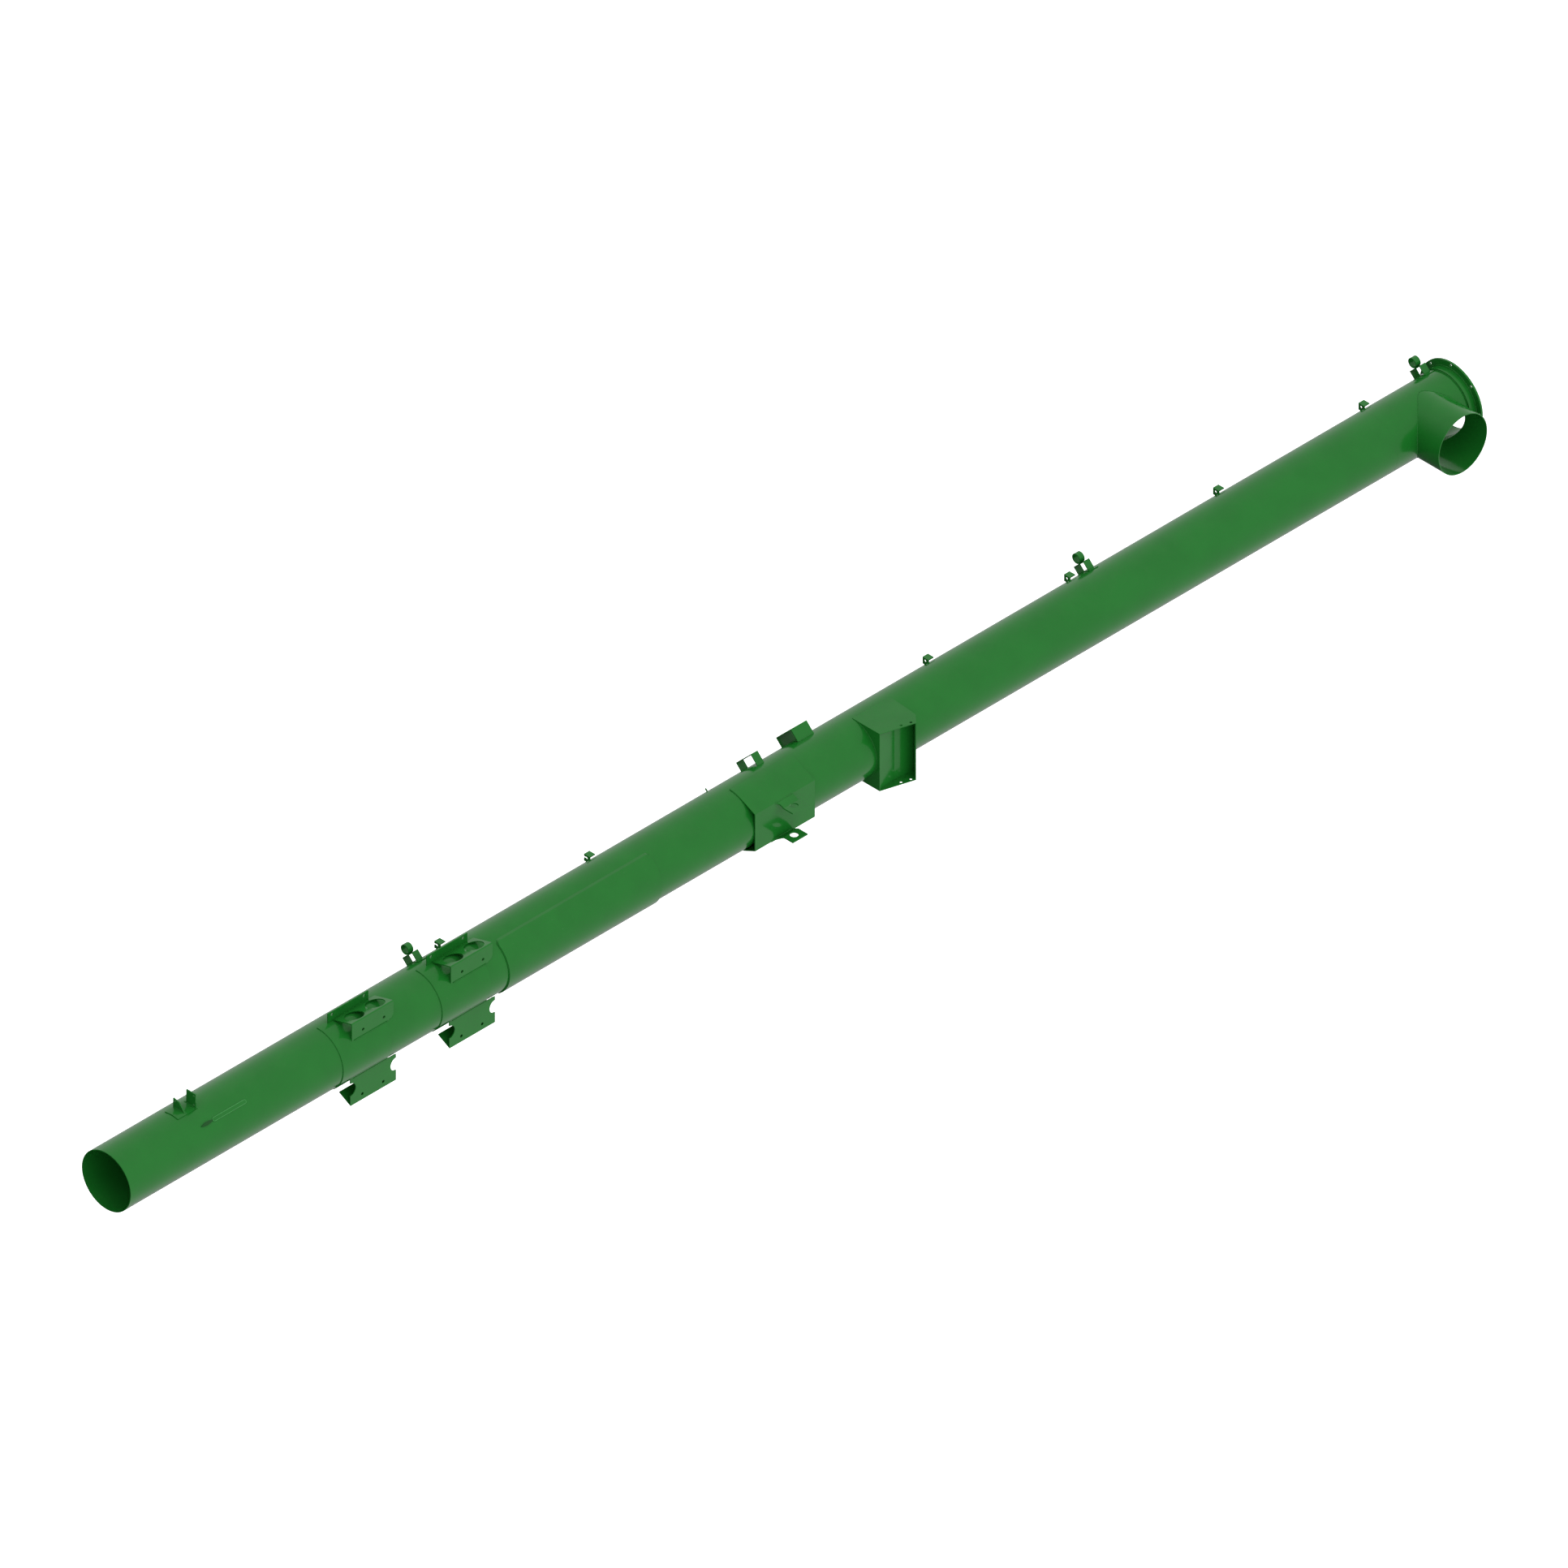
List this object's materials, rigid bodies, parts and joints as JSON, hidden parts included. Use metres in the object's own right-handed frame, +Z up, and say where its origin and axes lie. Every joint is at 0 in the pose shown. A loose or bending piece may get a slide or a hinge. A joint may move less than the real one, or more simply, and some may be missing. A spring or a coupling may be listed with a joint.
{
  "type": "auger tube",
  "caption": "Painted auger tube of a grain cart: open inlet, end flange, side discharge stub, and welded saddles, lugs, guides and a side box.",
  "frame": {"origin": "centre of the open inlet end face, on the tube axis", "axes": "+X along the tube to the end flange, -Y out of the discharge stub, +Z up"},
  "size_m": [6.968, 0.396, 0.395],
  "materials": {
    "tube_paint": "semi-gloss green paint",
    "bracket_paint": "semi-gloss green paint"
  },
  "bodies": {
    "root": {"box_bottom": "bracket_paint", "box_inner": "bracket_paint", "box_left": "bracket_paint", "box_right": "bracket_paint", "box_top": "bracket_paint", "discharge_stub": "tube_paint", "doubler_shell": "bracket_paint", "ear_pad": "bracket_paint", "end_collar": "bracket_paint", "end_flange": "bracket_paint", "guide_pad_1": "bracket_paint", "guide_pad_2": "bracket_paint", "guide_pad_3": "bracket_paint", "guide_ring_1": "bracket_paint", "guide_ring_2": "bracket_paint", "guide_ring_3": "bracket_paint", "guide_strap_1": "bracket_paint", "guide_strap_2": "bracket_paint", "guide_strap_3": "bracket_paint", "hole_clip_1": "bracket_paint", "hole_clip_2": "bracket_paint", "hole_clip_3": "bracket_paint", "hole_clip_4": "bracket_paint", "hook_clip_1": "bracket_paint", "hook_clip_2": "bracket_paint", "inlet_tube": "tube_paint", "keeper_tail": "bracket_paint", "keeper_tongue": "bracket_paint", "large_loop": "bracket_paint", "locating_peg": "bracket_paint", "lug_lower": "bracket_paint", "lug_upper": "bracket_paint", "middle_tube": "tube_paint", "mount_wrap": "bracket_paint", "saddle_band_1": "bracket_paint", "saddle_band_2": "bracket_paint", "saddle_hanger_1": "bracket_paint", "saddle_hanger_2": "bracket_paint", "saddle_tray_1": "bracket_paint", "saddle_tray_2": "bracket_paint", "saddle_upright_1": "bracket_paint", "saddle_upright_2": "bracket_paint", "slant_ear": "bracket_paint", "small_loop": "bracket_paint", "tall_ear": "bracket_paint", "tee_tube": "tube_paint"}
  },
  "joints": []
}
